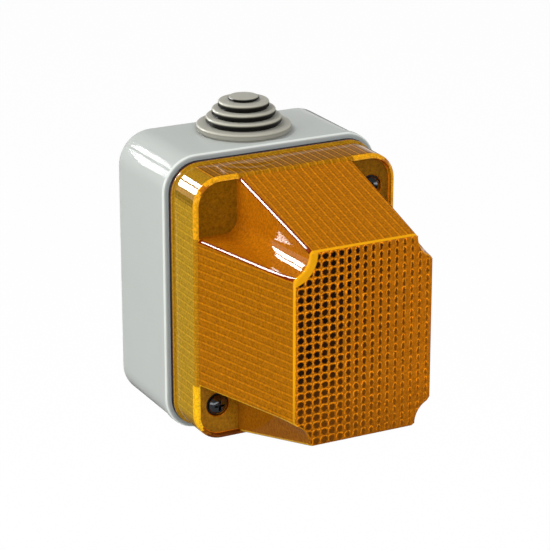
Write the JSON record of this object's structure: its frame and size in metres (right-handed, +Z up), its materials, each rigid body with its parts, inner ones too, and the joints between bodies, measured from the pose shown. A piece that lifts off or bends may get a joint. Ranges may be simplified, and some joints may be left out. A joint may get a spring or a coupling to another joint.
{
  "type": "surface-mounted warning light",
  "caption": "Wall-mounted warning light: grey back box with a stepped cable gland, black seal and a deep cross-shaped amber cover over a screw-base lamp.",
  "frame": {"origin": "middle of the back face of the box, which lies against the wall", "axes": "+X to the right as seen from the front, +Y into the wall (the amber cover points along -Y), +Z up, towards the cable gland"},
  "size_m": [0.066, 0.084, 0.0896],
  "materials": {
    "box_plastic": "satin light grey",
    "brass": "plain",
    "gland_rubber": "matt grey",
    "seal_rubber": "smooth black",
    "amber_cover": "clear amber, polished outside, prisms inside",
    "washer_rubber": "matt black",
    "nylon": "natural",
    "zinc_steel": "zinc plated",
    "holder_plastic": "cream",
    "spring_steel": "drawn wire",
    "connector_plastic": "red",
    "solder": "dull",
    "cap_glass": "black",
    "cap_brass": "bright",
    "bulb_glass": "clear",
    "stem_glass": "clear",
    "lamp_wire": "plain",
    "terminal_plastic": "natural",
    "lead_brown": "brown",
    "lead_blue": "blue"
  },
  "bodies": {
    "box": {"housing": "box_plastic", "boss_inserts": "brass", "cable_gland": "gland_rubber", "seal_ring": "seal_rubber", "holder_base": "holder_plastic", "holder_screws": "zinc_steel", "threaded_shell": "brass", "contact_spring": "spring_steel", "holder_tabs": "brass", "tab_connectors": "connector_plastic", "terminal_block": "terminal_plastic", "block_screw": "zinc_steel", "terminal_tubes": "brass", "lead_live": "lead_brown", "lead_neutral": "lead_blue"},
    "cover": {"cover": "amber_cover", "screw_washers": "washer_rubber", "screw_retainers": "nylon"},
    "upper_screw": {"cover_screw_upper": "zinc_steel"},
    "lower_screw": {"cover_screw_lower": "zinc_steel"},
    "plunger": {"contact_plunger": "brass"},
    "lamp_slide": {"lamp_tip": "solder"},
    "lamp": {"cap_insulator": "cap_glass", "lamp_cap": "cap_brass", "lamp_glass": "bulb_glass", "lamp_stem": "stem_glass", "lamp_wires": "lamp_wire", "filament": "lamp_wire"},
    "supply_screw_live": {"supply_screw_live": "zinc_steel"},
    "supply_screw_neutral": {"supply_screw_neutral": "zinc_steel"},
    "lamp_screw_live": {"lamp_screw_live": "zinc_steel"},
    "lamp_screw_neutral": {"lamp_screw_neutral": "zinc_steel"}
  },
  "joints": [
    {"name": "cover_lift", "type": "slide", "parent": "box", "child": "cover", "axis": [0, -1, 0], "range_m": [0, 0.07]},
    {"name": "upper_screw_turn", "type": "hinge", "parent": "cover", "child": "upper_screw", "pos_m": [0.0237, -0.044, 0.028], "axis": [0, -1, 0], "continuous": true},
    {"name": "lower_screw_turn", "type": "hinge", "parent": "cover", "child": "lower_screw", "pos_m": [-0.0237, -0.044, -0.028], "axis": [0, -1, 0], "continuous": true},
    {"name": "lamp_out", "type": "slide", "parent": "box", "child": "lamp_slide", "axis": [0, -1, 0], "range_m": [0, 0.00988]},
    {"name": "lamp_turn", "type": "hinge", "parent": "lamp_slide", "child": "lamp", "pos_m": [0, -0.02, 0], "axis": [0, -1, 0], "range_deg": [0, 1260]},
    {"name": "plunger_press", "type": "slide", "parent": "box", "child": "plunger", "axis": [0, 1, 0], "range_m": [0, 0.0008], "stiffness_N_per_m": 900, "springref_m": -0.0006, "deforming": ["contact_spring"]},
    {"name": "supply_screw_live_turn", "type": "hinge", "parent": "box", "child": "supply_screw_live", "pos_m": [0.0188, -0.0126, 0.0045], "axis": [0, -1, 0], "range_deg": [0, 1080]},
    {"name": "supply_screw_neutral_turn", "type": "hinge", "parent": "box", "child": "supply_screw_neutral", "pos_m": [0.0272, -0.0126, 0.0045], "axis": [0, -1, 0], "range_deg": [0, 1080]},
    {"name": "lamp_screw_live_turn", "type": "hinge", "parent": "box", "child": "lamp_screw_live", "pos_m": [0.0188, -0.0126, -0.0045], "axis": [0, -1, 0], "range_deg": [0, 1080]},
    {"name": "lamp_screw_neutral_turn", "type": "hinge", "parent": "box", "child": "lamp_screw_neutral", "pos_m": [0.0272, -0.0126, -0.0045], "axis": [0, -1, 0], "range_deg": [0, 1080]}
  ],
  "couplings": [
    {"joint": "lamp_out", "follows": "lamp_turn", "m_per_rad": 0.00044882}
  ]
}
